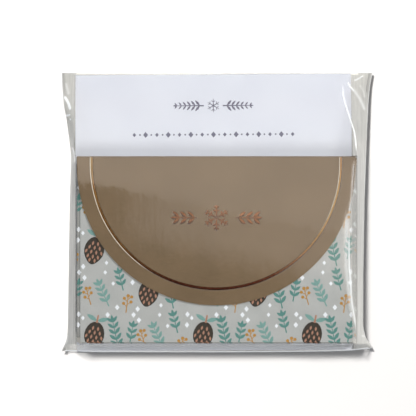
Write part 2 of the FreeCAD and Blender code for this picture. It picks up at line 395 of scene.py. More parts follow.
# Print on the pockets: a half-drop repeat of hanging cones, tossed leafy sprigs, gold berry sprays and small
# white diamonds. The ink lies on the front panel and on the strips of tab that show beside it.
TEAL = (0.09, 0.225, 0.202, 1.0)
TEAL_PALE = (0.17, 0.315, 0.288, 1.0)
CHARCOAL = (0.04, 0.035, 0.028, 1.0)
COPPER_PINK = (0.37, 0.2, 0.135, 1.0)
GOLD = (0.4, 0.215, 0.055, 1.0)
SNOW = (0.79, 0.82, 0.85, 1.0)
INK_OVER = 0.028
PRINT_RIM = 0.05
TAB_RIM = 2.0
CELL_WIDTH = 20.52
CELL_HEIGHT = 32.0
COLUMNS = 5
ROWS = 2
DROP = 16.0
START_Y = -5.0
# Length, pairs of leaves, leaf length and leaf width of each kind of sprig.
TOSSED_SPRIGS = (("tall", 12.6, 5, 3.5, 1.45), ("middle", 10.2, 4, 3.3, 1.4), ("short", 8.0, 3, 3.0, 1.3))
TOSSED_SPREAD = 44
TOSSED_TAPER = 0.2
CONE_WIDTH = 7.6
CONE_HEIGHT = 10.6
CONE_NARROWS = 0.32
CONE_ROWS = ((2.7, 2), (1.1, 3), (-0.6, 4), (-2.3, 3), (-3.7, 2))
SCALE_PITCH = 1.75
SCALE_FAN = 7
SPRAY_LENGTH = 6.4
BERRY_STEMS = ((0.34, 1), (0.48, -1), (0.64, 1), (0.78, -1))
BERRY_WIDTH = 1.35
# The motifs in one cell of the repeat: places in millimetres and turns in degrees.
MOTIF_PLACES = (
    ("tall", 14.6, 1.8, 102), ("short", 18.6, 4.4, 80), ("middle", 10.8, 18.6, 114),
    ("short", 16.2, 24.6, 104), ("spray", 17.2, 16.2, 82), ("spray", 4.0, 19.2, 106),
    ("cone", 5.2, 7.6, -12),
)
DIAMOND_PLACES = (
    (9.9, 3.0), (1.1, 1.6), (10.3, 15.4), (1.0, 14.2), (13.9, 18.2), (20.1, 15.4), (12.4, 27.2),
    (19.7, 27.6), (1.6, 29.4), (9.4, 31.4), (19.9, 31.6),
)


def cone(name):
    """A charcoal cone with copper tips to its scales, hanging from a copper stalk between two leaves."""
    body = disc(20, CONE_WIDTH, CONE_HEIGHT)
    for corner in body.data.vertices:
        if corner.co.y < 0:
            corner.co.x *= 1.0 - CONE_NARROWS * (corner.co.y / (CONE_HEIGHT / 2 * MM)) ** 2
    parts = [inked("cone_body", [body], charcoal_ink)]
    tip = disc(6, 1.8, 0.9, pointed=True)
    tips = []
    for level, count in CONE_ROWS:
        for place in range(count):
            x = (place - (count - 1) / 2) * SCALE_PITCH
            tips.append(twin(tip, turned(x, level + 0.9, -90 + x * SCALE_FAN)))
    discard(tip)
    parts.append(inked("cone_tips", tips, copper_ink, INK_OVER))
    stalk = bar(3.0, 0.8, 0.5)
    parts.append(inked("cone_stalk", [twin(stalk, turned(0, 4.9, 90))], copper_ink, INK_OVER))
    blade = disc(10, 4.6, 1.7, pointed=True)
    leaves = [twin(blade, turned(0, 5.6, way)) for way in (22, 158)]
    discard(stalk, blade)
    parts.append(inked("cone_leaves", leaves, teal_pale_ink))
    return joined(name, parts)


def spray(name, length):
    """A thin gold stalk along +X with round berries on short stems, one of them at its end."""
    shapes = [bar(length, 0.42, 0.26)]
    stem = bar(1.5, 0.3, 0.24)
    berry = disc(10, BERRY_WIDTH, BERRY_WIDTH)
    for share, side in BERRY_STEMS:
        shapes.append(twin(stem, turned(length * share, 0, side * 48)))
        shapes.append(twin(berry, turned(length * share + 1.2, side * BERRY_WIDTH, 0, 0.9)))
    shapes.append(twin(berry, turned(length, 0, 0)))
    discard(stem, berry)
    return inked(name, shapes, gold_ink)


def cropped(piece, low_x, high_x, low_y, high_y):
    """Trims a print to a rectangle in millimetres, with closed cut edges."""
    pick(piece)
    bpy.ops.object.mode_set(mode="EDIT")
    for place, normal in (
        ((low_x, 0), (-1, 0)),
        ((high_x, 0), (1, 0)),
        ((0, low_y), (0, -1)),
        ((0, high_y), (0, 1)),
    ):
        bpy.ops.mesh.select_all(action="SELECT")
        bpy.ops.mesh.bisect(
            plane_co=(place[0] * MM, place[1] * MM, 0),
            plane_no=(normal[0], normal[1], 0),
            use_fill=True,
            clear_outer=True,
        )
    bpy.ops.object.mode_set(mode="OBJECT")
    return piece


teal_ink = ink_finish("teal_ink", TEAL, lift=0.3)
teal_pale_ink = ink_finish("teal_pale_ink", TEAL_PALE, lift=0.25)
charcoal_ink = ink_finish("charcoal_ink", CHARCOAL, lift=0.35)
copper_ink = ink_finish("copper_pink_ink", COPPER_PINK, lift=0.25)
gold_ink = ink_finish("gold_ink", GOLD, lift=0.3)
snow_ink = ink_finish("snow_ink", SNOW, lift=0.05)

motifs = {}
for kind, *sizes in TOSSED_SPRIGS:
    leaf_ink = teal_pale_ink if kind == "middle" else teal_ink
    motifs[kind] = sprig(f"sprig_{kind}", leaf_ink, *sizes, TOSSED_SPREAD, TOSSED_TAPER)
motifs["cone"] = cone("cone")
motifs["spray"] = spray("berry_spray", SPRAY_LENGTH)
motifs["diamond"] = inked("white_diamond", [disc(4, width=1.75, height=2.2)], snow_ink)
repeat = []
for column in range(-1, COLUMNS + 1):
    for row in range(-1, ROWS + 1):
        left = column * CELL_WIDTH
        foot = row * CELL_HEIGHT + (DROP if column % 2 else 0.0) + START_Y
        for kind, x, y, way in MOTIF_PLACES:
            repeat.append(twin(motifs[kind], turned(left + x, foot + y, way)))
        for place, (x, y) in enumerate(DIAMOND_PLACES):
            size = 1.0 if place % 3 else 0.8
            repeat.append(twin(motifs["diamond"], turned(left + x, foot + y, 0, size)))
discard(*motifs.values())
whole_print = joined("whole_print", repeat)

for number in ENVELOPES:
    panel_low, panel_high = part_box(f"envelope_{number}_front_panel")
    tab_low, tab_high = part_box(f"envelope_{number}_left_tab")
    wide = (panel_high.x - panel_low.x) / MM
    tall = (panel_high.y - panel_low.y) / MM
    strip = (panel_low.x - tab_low.x) / MM
    rim = PRINT_RIM
    sheets = [cropped(twin(whole_print), rim, wide - rim, rim, tall - rim)]
    for side_low, side_high in ((rim - strip, -rim), (wide + rim, wide + strip - rim)):
        band = cropped(twin(whole_print), side_low, side_high, TAB_RIM, tall - TAB_RIM)
        band.data.transform(Matrix.Translation((0, 0, tab_high.z - panel_high.z)))
        sheets.append(band)
    pocket_print = joined(f"envelope_{number}_print", sheets)
    pocket_print.data.transform(Matrix.Translation((panel_low.x, panel_low.y, panel_high.z)))
    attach(pocket_print, f"envelope_{number}")
discard(whole_print)


# Flap and spine: the same sheet's half-round flap, coated on its outer side with a bronze pearl lacquer,
# folded over the pocket about two scores. Its fine grain runs across the sheet.
BRONZE = (0.267, 0.19, 0.111, 1.0)
BRONZE_DEEP = (0.215, 0.153, 0.088, 1.0)
FLAP_INSIDE = 1.64
FOLD_INSIDE_Y = 20.84
FOLD_FADE = 0.02


def pearl_finish():
    """Bronze pearl lacquer on paper: a soft metallic lustre, cloudy, with a fine laid grain. The inner side
    of the flap and of the spine is plain."""
    made, where, shader = finish("bronze_pearl_paper")
    cloud = where.grain(60.0, 5.0)
    laid = where.stretched(1.0, 7.0, 1.0).grain(620.0, 4.0)
    fleck = where.grain(6500.0, 2.0)
    lacquer = (cloud * 0.45 + laid * 0.4 + fleck * 0.15).step(0.36, 0.64).blend(BRONZE_DEEP, BRONZE)
    outer = height_in_envelope(where).step(FLAP_INSIDE * MM, (FLAP_INSIDE + SIDE_FADE) * MM)
    behind = where.axis("Y").step(FOLD_INSIDE_Y * MM, (FOLD_INSIDE_Y + FOLD_FADE) * MM)
    coated = outer.sum("MAXIMUM", outer, behind)
    feed(shader, {
        "Base Color": coated.blend(plain_side(laid), lacquer),
        "Metallic": coated * (0.25 + 0.3 * fleck),
        "Roughness": 0.38 + 0.16 * laid,
        "Specular IOR Level": 0.45,
        "Normal": (laid * 0.6 + fleck * 0.4).relief(0.00002, 0.5),
    })
    return made


bronze_pearl = pearl_finish()
for number in ENVELOPES:
    for leaf_part in ("spine", "flap"):
        coat(nodes[f"envelope_{number}_{leaf_part}"], bronze_pearl)


# Foil on the flap: copper foil blocked hot onto the paper, as a border line that follows the round edge and
# an ornament of a star between two sprigs. The line stands up in a low bead, the ornament has sloped edges.
BORDER_LIGHT = (0.41, 0.3, 0.125, 1.0)
BORDER_DEEP = (0.34, 0.185, 0.075, 1.0)
# Painted shade: towards the flap's low end the border is painted this dark red-brown, over the range of y
# below.
BORDER_LOW_SHADE = (0.2, 0.068, 0.036, 1.0)
ORNAMENT_LIGHT = (0.4, 0.207, 0.083, 1.0)
ORNAMENT_DEEP = (0.28, 0.121, 0.046, 1.0)
# Painted highlight: the foil's sloped edges are painted this pale colour, from the shares of the slope
# below.
FOIL_PAINTED_HIGHLIGHT = (0.735, 0.725, 0.66, 1.0)
FOIL_SHADE_END = (-0.027, -0.014)
BORDER_HIGHLIGHT_FROM = (0.25, 0.75)
ORNAMENT_HIGHLIGHT_FROM = (0.45, 0.95)
FOIL_SMOOTH = math.radians(50)
BEAD_HEIGHT = 0.08
BEAD_SLOPE_SHARE = 0.5
BEAD_CORNERS = 24
STAMP_HEIGHT = 0.035
STAMP_SLOPE_SHARE = 0.75
ROUND_STEPS = 120
BORDER_WIDTH = 1.25
STAR_REACH = 5.3
STAR_STROKE = 0.85
STAR_BRANCH = 2.0
BRANCH_SHARES = (0.42, 0.7)
BRANCH_TURN = 60
SPRIG_GAP = 1.5
SPRIG_LENGTH = 10.6
STEM_WIDTH = 0.7
LEAF_LENGTH = 3.8
LEAF_WIDTH = 1.5
LEAF_SHARES = (0.14, 0.4, 0.66)
LEAF_TURN = 42


def foil_finish(name, light, deep, low, pale):
    """Blocked copper foil: deep metal that varies in patches, with a light press texture. Towards the flap's
    low end it is painted darker and redder as painted shade, and over its sloped edges it is painted pale as
    a painted highlight."""
    made, where, shader = finish(name)
    patch = where.grain(75.0, 3.0)
    press = where.grain(2600.0, 3.0)
    copper = (patch * 0.7 + press * 0.3).step(0.34, 0.68).blend(deep, light)
    # Painted shade: darker and redder towards the flap's low end.
    copper = where.axis("Y").step(*FOIL_SHADE_END).blend(low, copper)
    feed(shader, {
        # Painted highlight: pale over the sloped edges.
        "Base Color": where.mark("edge").step(*pale).blend(copper, FOIL_PAINTED_HIGHLIGHT),
        "Metallic": 1.0,
        "Roughness": 0.07 + 0.1 * press,
        "Normal": press.relief(0.000006, 0.4),
    })
    return made


def border_line(number):
    """The border as a low bead with sloped sides: a ring of corners run down one side, round the flap and
    up the other side."""
    low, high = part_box(f"envelope_{number}_foil_border")
    flap_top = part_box(f"envelope_{number}_flap")[1].z
    middle = (low.x + high.x) / 2
    reach = (high.x - low.x) / 2
    width = BORDER_WIDTH * MM
    centre_y = low.y + reach
    bpy.ops.mesh.primitive_circle_add(
        vertices=BEAD_CORNERS,
        radius=width / 2,
        location=(middle + reach - width / 2, high.y, flap_top),
        rotation=(math.radians(90), 0, 0),
    )
    made = bpy.context.object
    bpy.ops.object.transform_apply(location=True, rotation=True, scale=True)
    for corner in made.data.vertices:
        inward = 1.0 - abs(corner.co.x - middle - reach + width / 2) / (width / 2)
        up = min(1.0, inward / BEAD_SLOPE_SHARE) if corner.co.z > flap_top else 0.0
        corner.co.z = flap_top + up * BEAD_HEIGHT * MM
    bpy.ops.object.mode_set(mode="EDIT")
    bpy.ops.mesh.select_all(action="SELECT")
    down = (0, centre_y - high.y, 0)
    bpy.ops.mesh.extrude_region_move(TRANSFORM_OT_translate={"value": down})
    bpy.ops.mesh.spin(
        steps=ROUND_STEPS,
        angle=math.pi,
        center=(middle, centre_y, flap_top),
        axis=(0, 0, 1),
    )
    bpy.ops.mesh.extrude_region_move(TRANSFORM_OT_translate={"value": (0, high.y - centre_y, 0)})
    bpy.ops.mesh.select_all(action="SELECT")
    bpy.ops.mesh.remove_doubles(threshold=0.000001)
    bpy.ops.mesh.select_all(action="DESELECT")
    bpy.ops.mesh.select_non_manifold()
    bpy.ops.mesh.edge_face_add()
    bpy.ops.mesh.select_all(action="SELECT")
    bpy.ops.mesh.normals_make_consistent(inside=False)
    bpy.ops.object.mode_set(mode="OBJECT")
    bpy.ops.object.shade_smooth_by_angle(angle=FOIL_SMOOTH)
    made.name = f"envelope_{number}_border_line"
    return made


def pillow(length, width, pointed=False):
    """A low stroke of foil along +X from the origin, with sloped edges and a flat top, in millimetres. A
    pointed one is a leaf."""
    lying = (0, math.radians(90), 0)
    bpy.ops.mesh.primitive_uv_sphere_add(segments=12, ring_count=10, radius=1.0, rotation=lying)
    made = bpy.context.object
    bpy.ops.object.transform_apply(location=True, rotation=True, scale=True)
    for corner in made.data.vertices:
        x, y, z = corner.co
        if pointed:
            y *= math.sqrt(max(0.0, 1.0 - x * x))
        up = min(1.0, max(0.0, z) / STAMP_SLOPE_SHARE)
        corner.co = ((x + 1) / 2 * length * MM, y / 2 * width * MM, up * STAMP_HEIGHT * MM)
    bpy.ops.object.shade_smooth_by_angle(angle=FOIL_SMOOTH)
    return made


def ornament(number):
    """The stamped ornament: a six-armed star between two leafy sprigs."""
    low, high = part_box(f"envelope_{number}_foil_ornament")
    arm = pillow(STAR_REACH, STAR_STROKE)
    twigs = [pillow(STAR_BRANCH * (1 - share / 2), STAR_STROKE) for share in BRANCH_SHARES]
    stem = pillow(SPRIG_LENGTH - LEAF_LENGTH / 2, STEM_WIDTH)
    blade = pillow(LEAF_LENGTH, LEAF_WIDTH, pointed=True)
    shapes = []
    for way in STAR_WAYS:
        shapes.append(twin(arm, turned(0, 0, way)))
        for share, twig in zip(BRANCH_SHARES, twigs):
            for turn in (-BRANCH_TURN, BRANCH_TURN):
                shapes.append(twin(twig, turned(0, 0, way) @ turned(STAR_REACH * share, 0, turn)))
    for way in (0, 180):
        foot = turned(0, 0, way) @ turned(STAR_REACH + SPRIG_GAP, 0, 0)
        shapes.append(twin(stem, foot))
        for share in LEAF_SHARES:
            for turn in (-LEAF_TURN, LEAF_TURN):
                shapes.append(twin(blade, foot @ turned(SPRIG_LENGTH * share, 0, turn)))
        shapes.append(twin(blade, foot @ turned(SPRIG_LENGTH - LEAF_LENGTH, 0, 0)))
    discard(arm, stem, blade, *twigs)
    made = joined(f"envelope_{number}_ornament", shapes)
    made.data.transform(Matrix.Translation(((low.x + high.x) / 2, (low.y + high.y) / 2, low.z)))
    return made


def mark_edges(stamp, paper, height):
    """Notes on each point of a stamp how far down its sloped edge it lies: 0 on top, 1 at the paper. The
    foil's painted highlight follows this.
    """
    drop = [1.0 - (corner.co.z - paper) / (height * MM) for corner in stamp.data.vertices]
    stamp.data.attributes.new("edge", "FLOAT", "POINT").data.foreach_set("value", drop)


border_foil = foil_finish("border_foil", BORDER_LIGHT, BORDER_DEEP, BORDER_LOW_SHADE, BORDER_HIGHLIGHT_FROM)
ornament_foil = foil_finish(
    "ornament_foil", ORNAMENT_LIGHT, ORNAMENT_DEEP, ORNAMENT_DEEP, ORNAMENT_HIGHLIGHT_FROM
)
foils = []
for number in ENVELOPES:
    paper_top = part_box(f"envelope_{number}_flap")[1].z
    flap_body = "front_flap" if number == 1 else f"envelope_{number}"
    for stamp, height, foil, replaced in (
        (border_line(number), BEAD_HEIGHT, border_foil, "foil_border"),
        (ornament(number), STAMP_HEIGHT, ornament_foil, "foil_ornament"),
    ):
        mark_edges(stamp, paper_top, height)
        coat(stamp, foil)
        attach(stamp, flap_body)
        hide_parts(f"envelope_{number}_{replaced}")
        foils.append(stamp)


# Film bag: two layers of clear polypropylene film, welded and cut along both sides and folded at the bottom.
# The stack pulls the sides in and the corners flare. The film is taut over the envelopes, slopes down over
# the card's head and is creased at the corners, where it turns milky. Its white lines are partly whitened
# creases and partly painted highlights, and a grey mist under the stack's foot is painted shade.
FILM_CLEAR = (0.93, 0.94, 0.93, 1.0)
MILK_DARK = (0.018, 0.025, 0.045, 1.0)
MILK_PALE = (0.985, 0.968, 0.905, 1.0)
# Painted highlight: the white of the film's creases and highlight lines.
CREASE_HIGHLIGHT_WHITE = (0.97, 0.985, 0.99, 1.0)
FILM_GAUGE = 0.05
# The bag's sides in plan, x by y, its bottom edge, y by the share across, and how high its seams are, by y.
LEFT_EDGE = (
    (-53.2, -59.1), (-51.0, -58.2), (-49.4, -57.4), (-48.0, -56.9), (-44.0, -56.6), (-29.5, -56.35),
    (-12.0, -56.1), (-1.0, -55.9), (21.1, -55.3), (25.0, -55.7), (31.4, -56.5), (36.3, -57.2),
    (40.1, -58.1), (48.5, -58.8), (53.0, -59.0),
)
RIGHT_EDGE = (
    (-53.2, 59.1), (-51.2, 58.9), (-49.6, 57.8), (-48.0, 56.6), (-43.6, 55.55), (-24.0, 55.55),
    (4.7, 56.0), (19.9, 56.45), (31.4, 56.9), (42.8, 57.5), (48.5, 58.1), (51.0, 58.6), (53.0, 59.1),
)
BOTTOM_EDGE = (
    (-1.0, -52.6), (-0.8, -53.1), (0.0, -53.2), (0.5, -53.0), (0.8, -52.75), (0.92, -52.3), (1.0, -51.4),
)
SEAM_RISE = (
    (-53.2, 2.1), (-46.0, 1.8), (-40.0, 1.8), (-10.0, 2.15), (10.0, 2.5), (22.0, 2.7), (32.0, 2.6),
    (45.0, 2.1), (53.0, 1.5),
)
CORNER_ROUND = 1.2
CORNER_SHARE = 0.06
# Grid lines across the bag and up it: a stop and the spacing up to the next.
ACROSS_STOPS = ((-1.0, 0.0046), (-0.8, 0.03), (0.8, 0.0028), (1.0, 0.0))
UP_STOPS = ((0.0, 0.003), (0.07, 0.009), (0.68, 0.0036), (1.0, 0.0))
TOP_Y = 52.92
# The stack and the card under the film.
STACK_TOP = 9.17
STACK_LEFT = -53.05
STACK_RIGHT = 52.75
STACK_FOOT = -49.7
STACK_HEAD = 21.4
TABS_LEFT = STACK_LEFT + 0.1
TABS_RIGHT = 52.4
CARD_LEFT = -53.65
CARD_RIGHT = 51.35
CARD_TOP = 52.35
CARD_LEAN = 0.0061
CARD_RIM = 0.4
# How the film runs down over the card's head, at the foot and at the sides.
HEAD_FILM = 1.12
HEAD_SAG = 1.3
HEAD_RELEASE = 0.25
RELEASE_LEFT = 0.8
RELEASE_RIGHT = 1.4
FOOT_FILM = 0.45
FOOT_SAG = 1.5
SIDE_SAG = 1.25
# The back film: its step up over the lip, and the room in which it curls up to the seams.
BACK_LEVEL = 0.06
BACK_STEP = 0.2
BACK_STEP_Y = 22.4
BACK_STEP_RUN = 0.6
CURL_LEAST = 0.8
CURL_ROOM = 4.0
SEAM_GAP = 0.02
# Milk past the card, painted shade as a grey mist at the foot under the stack, and a painted highlight along
# the bottom fold.
MARGIN_HAZE = 0.62
MARGIN_FADE = 0.6
MOUTH_HAZE = 0.6
MOUTH_FADE = 0.3
MOUTH_MILK_Y = 52.0
BACK_MILK_RIM = 1.2
BACK_MILK_FOOT = -51.6
BACK_MILK_TOP = 51.4
# Painted shade: a grey mist on the film under the stack's foot.
FOOT_SHADE_HAZE = 0.34
FOOT_SHADE_GREY = 0.52
FOOT_SHADE_HALF = 51.8
FOOT_SHADE_LOW = -52.4
FOOT_SHADE_RUN = 2.8
FOOT_SHADE_GAIN = 2.5
FOOT_SHADE_OVER = 0.25
# Painted highlight along the bottom fold: how white, how far up and how wide.
FOLD_HIGHLIGHT_WHITE = 0.78
FOLD_UP = 0.15
FOLD_WIDTH = 0.3
# How pale the milk of the side margins is, by y, and from which x a thin mist veils the right tab, by y.
MILK_LEFT = (
    (-53.2, 0.69), (-42.0, 0.58), (-26.0, 0.56), (-8.0, 0.64), (8.0, 0.54), (22.0, 0.55), (34.0, 0.63),
    (53.0, 0.55),
)
MILK_RIGHT = (
    (-53.2, 0.52), (-40.0, 0.53), (-20.0, 0.49), (-6.0, 0.465), (14.0, 0.5), (32.0, 0.49), (44.0, 0.55),
    (53.0, 0.65),
)
TAB_MIST = 0.56
TAB_VEIL = (
    (-53.2, 50.8), (-30.0, 50.5), (-3.6, 50.3), (1.8, 50.4), (6.2, 51.0), (11.6, 51.4), (15.2, 51.8),
    (19.2, 52.3), (21.4, 52.8),
)
CREASE_TAPER = 0.16
CREASE_FADE = 4.0
# Each crease or painted highlight line: its points in plan, its width, how far it stands up and how white it
# is.
CREASES_AND_HIGHLIGHTS = (
    (((-57.9, 49.6), (-57.2, 47.9), (-56.6, 46.0), (-56.2, 44.2)), 0.75, 0.25, 0.24),
    (((-58.3, 44.4), (-57.3, 43.1), (-56.3, 41.2), (-55.5, 38.5)), 0.42, 0.35, 0.95),
    (((-57.5, 36.8), (-56.5, 36.8), (-55.5, 37.0)), 0.26, 0.2, 0.9),
    (((-55.7, 35.7), (-55.4, 34.8)), 0.3, 0.1, 0.6),
    (((-55.2, 25.2), (-54.5, 24.0), (-53.8, 22.1), (-53.7, 19.7), (-54.0, 18.3)), 0.34, 0.2, 0.4),
    (
        (
            (48.5, 49.5), (47.8, 48.3), (47.8, 45.1), (48.5, 41.7), (49.5, 38.3), (50.5, 34.9),
            (51.5, 31.7), (51.9, 30.1), (52.3, 26.9), (52.5, 22.5), (52.6, 21.3),
        ),
        0.18, 0.4, 0.8,
    ),
    (((49.5, 49.8), (50.1, 48.5), (51.1, 47.1), (52.4, 45.6)), 0.34, 0.3, 0.5),
    (((51.1, 47.1), (52.4, 45.6), (53.8, 43.6), (54.8, 41.7), (55.5, 40.0), (56.2, 37.9)), 0.7, 0.4, 0.27),
    (((51.6, 50.0), (52.8, 50.3), (54.1, 51.0), (55.2, 51.7), (55.9, 52.1)), 0.3, 0.3, 0.45),
    (((53.4, 48.6), (54.6, 47.6), (55.6, 45.6), (56.2, 43.0)), 0.5, 0.2, 0.2),
    (
        ((52.1, 20.5), (51.6, 19.2), (51.3, 15.2), (51.0, 11.6), (50.7, 6.2), (50.0, 1.8), (49.9, -3.6)),
        0.5, 0.1, 0.2,
    ),
    (((48.8, 2.8), (48.8, -6.6), (48.7, -18.7), (49.1, -24.7), (49.9, -32.0), (51.2, -42.0)), 1.0, 0.0, 0.2),
    (
        (
            (49.9, -5.9), (49.7, -14.2), (49.9, -21.7), (50.3, -26.5), (50.5, -30.8), (51.0, -35.1),
            (51.6, -39.0), (52.2, -43.3), (52.6, -46.9),
        ),
        0.42, 0.1, 0.42,
    ),
    (((54.2, -46.7), (55.7, -46.9), (57.2, -47.9)), 0.45, 0.25, 0.2),
    (((56.9, 30.0), (56.5, 16.0), (56.2, 0.0), (55.9, -20.0), (55.8, -42.0)), 0.4, 0.1, 0.4),
    (((-56.4, -46.0), (-57.0, -49.0), (-58.6, -51.8)), 0.3, 0.2, 0.3),
)


def eased(share):
    """A share kept between 0 and 1, with soft ends."""
    share = np.clip(share, 0.0, 1.0)
    return share * share * (3.0 - 2.0 * share)


def along(table, places):
    """Values between the rows of a table by y, or by the share across, rounded off at its corners."""
    keys, values = zip(*table)
    reach = CORNER_SHARE if keys[-1] == 1.0 else CORNER_ROUND
    spread = [np.interp(places + shift * reach, keys, values) for shift in (-1.0, -0.5, 0.0, 0.5, 1.0)]
    return sum(spread) / len(spread)


def spaced(stops):
    """Grid lines between stops, each given with the spacing up to the next."""
    lines = []
    for (start, gap), (end, _) in zip(stops, stops[1:]):
        count = max(1, round((end - start) / gap))
        lines += [start + (end - start) * k / count for k in range(count)]
    return np.array(lines + [stops[-1][0]])


def film_grid(name, across, up):
    """A flat grid, and for each of its points the share across the bag, from -1 to 1, and up it, from 0
    to 1."""
    bpy.ops.mesh.primitive_grid_add(x_subdivisions=len(across) - 1, y_subdivisions=len(up) - 1, size=1.0)
    made = bpy.context.object
    made.name = name
    made.data.name = name
    flat = np.empty(len(made.data.vertices) * 3)
    made.data.vertices.foreach_get("co", flat)
    flat = flat.reshape(-1, 3) + 0.5
    columns = np.rint(flat[:, 0] * (len(across) - 1)).astype(int)
    rows = np.rint(flat[:, 1] * (len(up) - 1)).astype(int)
    return made, across[columns], up[rows]


def bag_place(share, rise):
    """The place of a point of the bag in plan, in millimetres, and its two side edges there."""
    low = along(BOTTOM_EDGE, share)
    y = low + (TOP_Y - low) * rise
    left, right = along(LEFT_EDGE, y), along(RIGHT_EDGE, y)
    x = np.where(share < 0, left * -share, right * share)
    return x, y, left, right


def rounded(line, steps=8):
    """A bent line with its corners rounded off, as a run of short straights through the same points."""
    ends = [line[0], *line, line[-1]]
    made = []
    for before, start, end, after in zip(ends, ends[1:], ends[2:], ends[3:]):
        for step in range(steps):
            t = step / steps
            weights = (
                -t / 2 + t * t - t**3 / 2,
                1 - 2.5 * t * t + 1.5 * t**3,
                t / 2 + 2 * t * t - 1.5 * t**3,
                -t * t / 2 + t**3 / 2,
            )
            corners = (before, start, end, after)
            made.append(tuple(sum(w * p[k] for w, p in zip(weights, corners)) for k in (0, 1)))
    return made + [line[-1]]


def distance_to(line, x, y):
    """The distance of points from a bent line, and how far they are from its ends, as a taper to 1."""
    best = np.full(len(x), 1e9)
    taper = np.zeros(len(x))
    runs = [math.dist(a, b) for a, b in zip(line, line[1:])]
    done = 0.0
    for (x0, y0), (x1, y1), run in zip(line, line[1:], runs):
        share = np.clip(((x - x0) * (x1 - x0) + (y - y0) * (y1 - y0)) / run**2, 0.0, 1.0)
        away = np.hypot(x - x0 - share * (x1 - x0), y - y0 - share * (y1 - y0))
        nearer = away < best
        best = np.where(nearer, away, best)
        whole = (done + share * run) / sum(runs)
        ends = eased(whole / CREASE_TAPER) * eased((1.0 - whole) / CREASE_TAPER)
        taper = np.where(nearer, ends, taper)
        done += run
    return best, taper


def set_film(obj, x, y, z, haze, crease_and_highlight, outward, painted_shade=0.0):
    """Moves a film grid into place, gives it its milky and white marks, its milk greyed by a share of
    painted shade, and its gauge.
    """
    obj.data.vertices.foreach_set("co", (np.stack((x, y, z), axis=1) * MM).ravel())
    milk = np.where(x < 0, along(MILK_LEFT, y), along(MILK_RIGHT, y))
    at_mouth = eased((y - MOUTH_MILK_Y) / MOUTH_FADE) * (np.abs(x) < -CARD_LEFT)
    milk = np.maximum(milk, at_mouth) * (1.0 - painted_shade)
    for mark, values in (("haze", haze), ("crease_and_highlight", crease_and_highlight), ("milk", milk)):
        layer = obj.data.attributes.new(mark, "FLOAT", "POINT")
        layer.data.foreach_set("value", np.clip(values, 0.0, 1.0).astype(np.float32))
    obj.data.update()
    pick(obj)
    if outward < 0:
        bpy.ops.object.mode_set(mode="EDIT")
        bpy.ops.mesh.select_all(action="SELECT")
        bpy.ops.mesh.flip_normals()
        bpy.ops.object.mode_set(mode="OBJECT")
    thicken(obj, FILM_GAUGE)
    bpy.ops.object.shade_smooth()
    return obj


def film_finish(name, shadow):
    """Clear film: it lets through what is behind it, shines more at a glance, and is milky and streaked
    along its welded margins. It is white along its creases and painted highlight lines, which throw no
    shadow, and grey where painted shade lies under the stack. Its milk throws this share of a shadow."""
    made, where, shader = finish(name)
    haze, crease_and_highlight, milk = (where.mark(word) for word in ("haze", "crease_and_highlight", "milk"))
    facing = where.node("ShaderNodeLayerWeight", {}, {"Blend": 0.5}, out="Facing")
    streak = where.stretched(1.0, 0.05, 0.4).grain(1400.0, 4.0)
    ripple = where.stretched(1.0, 0.35, 1.0).grain(160.0, 3.0)
    tone = (haze * 3.0).step(0.0, 1.0).blend(FILM_CLEAR, milk.blend(MILK_DARK, MILK_PALE))
    rough = milk.step(0.35, 0.5)
    mist = haze * (0.97 + 0.85 * (streak - 0.5) * rough)
    shaded = where.node("ShaderNodeLightPath", {}, {}, out="Is Shadow Ray")
    shine = 0.04 + 0.8 * facing ** 5.0
    share = shine + mist * (1.0 - shaded * (1.0 - shadow)) + 0.9 * crease_and_highlight * (1.0 - shaded)
    feed(shader, {
        # Painted highlight: white along the creases and highlight lines.
        "Base Color": crease_and_highlight.step(0.05, 0.6).blend(tone, CREASE_HIGHLIGHT_WHITE),
        "Metallic": 1.0 - (haze * 3.0 + crease_and_highlight * 4.0).step(0.0, 1.0),
        "Roughness": 0.03 + 0.32 * haze,
        "Normal": ((ripple * 0.98 + streak * 0.02) * rough).relief(0.0002, 0.15),
    })
    clear = where.node("ShaderNodeBsdfTransparent", {}, {})
    body = Flow(where.tree, shader.outputs["BSDF"])
    mixed = where.node("ShaderNodeMixShader", {}, {0: share.sum("MINIMUM", share, 0.97), 1: clear, 2: body})
    where.tree.links.new(mixed.socket, where.tree.nodes["Material Output"].inputs["Surface"])
    return made


clear_film = film_finish("clear_film", shadow=1.0)
front_clear_film = film_finish("front_clear_film", shadow=0.1)

across = spaced(ACROSS_STOPS)
up = spaced(UP_STOPS)


def film_marks(x, y, low):
    """How milky the film is outside the card, how white along its creases, its painted highlight lines and
    the painted highlight along its bottom fold, and how far the creases stand up."""
    over_stack = y < STACK_HEAD
    lean = CARD_LEAN * y
    left_side = np.where(over_stack, TABS_LEFT, CARD_LEFT + CARD_RIM - lean)
    right_side = np.where(over_stack, TABS_RIGHT, CARD_RIGHT - CARD_RIM - lean)
    past_left = eased((left_side - x) / MARGIN_FADE)
    past_right = eased((x - right_side) / MARGIN_FADE)
    past_top = MOUTH_HAZE * eased((y - CARD_TOP - CARD_LEAN * x) / MOUTH_FADE)
    tab_mist = TAB_MIST * over_stack * eased((x - along(TAB_VEIL, y)) / MARGIN_FADE)
    haze = MARGIN_HAZE * np.maximum.reduce((past_left, past_right, past_top, tab_mist))
    # Painted highlight along the bottom fold; the lines below are partly whitened creases, partly painted
    # highlights.
    crease_and_highlight = FOLD_HIGHLIGHT_WHITE * np.exp(-(((y - low - FOLD_UP) / FOLD_WIDTH) ** 2))
    lift = np.zeros(len(x))
    for line, width, height, white in CREASES_AND_HIGHLIGHTS:
        away, taper = distance_to(rounded(line), x, y)
        ridge = np.exp(-((away / (width * (0.4 + 0.6 * taper))) ** 2)) * taper
        crease_and_highlight = np.maximum(crease_and_highlight, ridge * white)
        lift = np.maximum(lift, ridge * height)
    return haze, crease_and_highlight, lift


def past_sides(x):
    """How far a point of the film behind the card lies past the card's sides, from 0 to 1."""
    return np.maximum(eased(CARD_LEFT + BACK_MILK_RIM - x), eased(x - CARD_RIGHT + BACK_MILK_RIM))


